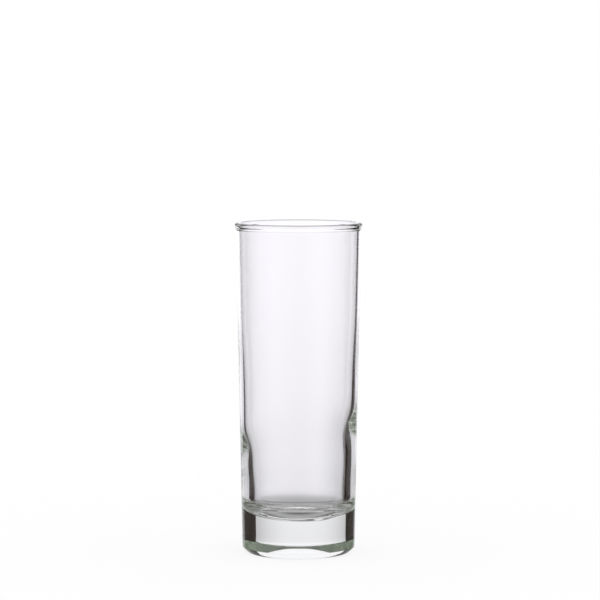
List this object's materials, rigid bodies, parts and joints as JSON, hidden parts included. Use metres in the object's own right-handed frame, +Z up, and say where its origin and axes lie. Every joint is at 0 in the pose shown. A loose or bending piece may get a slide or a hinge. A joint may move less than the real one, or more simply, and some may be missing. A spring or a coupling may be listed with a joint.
{
  "type": "highball tumbler",
  "caption": "Tall clear drinking glass with a flared wall, a beaded mouth, a thick solid base and a hollowed underside to stand on.",
  "frame": {"origin": "middle of the ring that the glass stands on, at table height", "axes": "+Z up the axis of the glass towards its mouth; the glass is round, so X and Y are free"},
  "size_m": [0.0604, 0.0604, 0.156],
  "materials": {
    "clear_glass": "clear fire-polished soda-lime glass"
  },
  "bodies": {
    "root": {"heavy_base": "clear_glass", "side_wall": "clear_glass", "rim_bead": "clear_glass"}
  },
  "joints": []
}
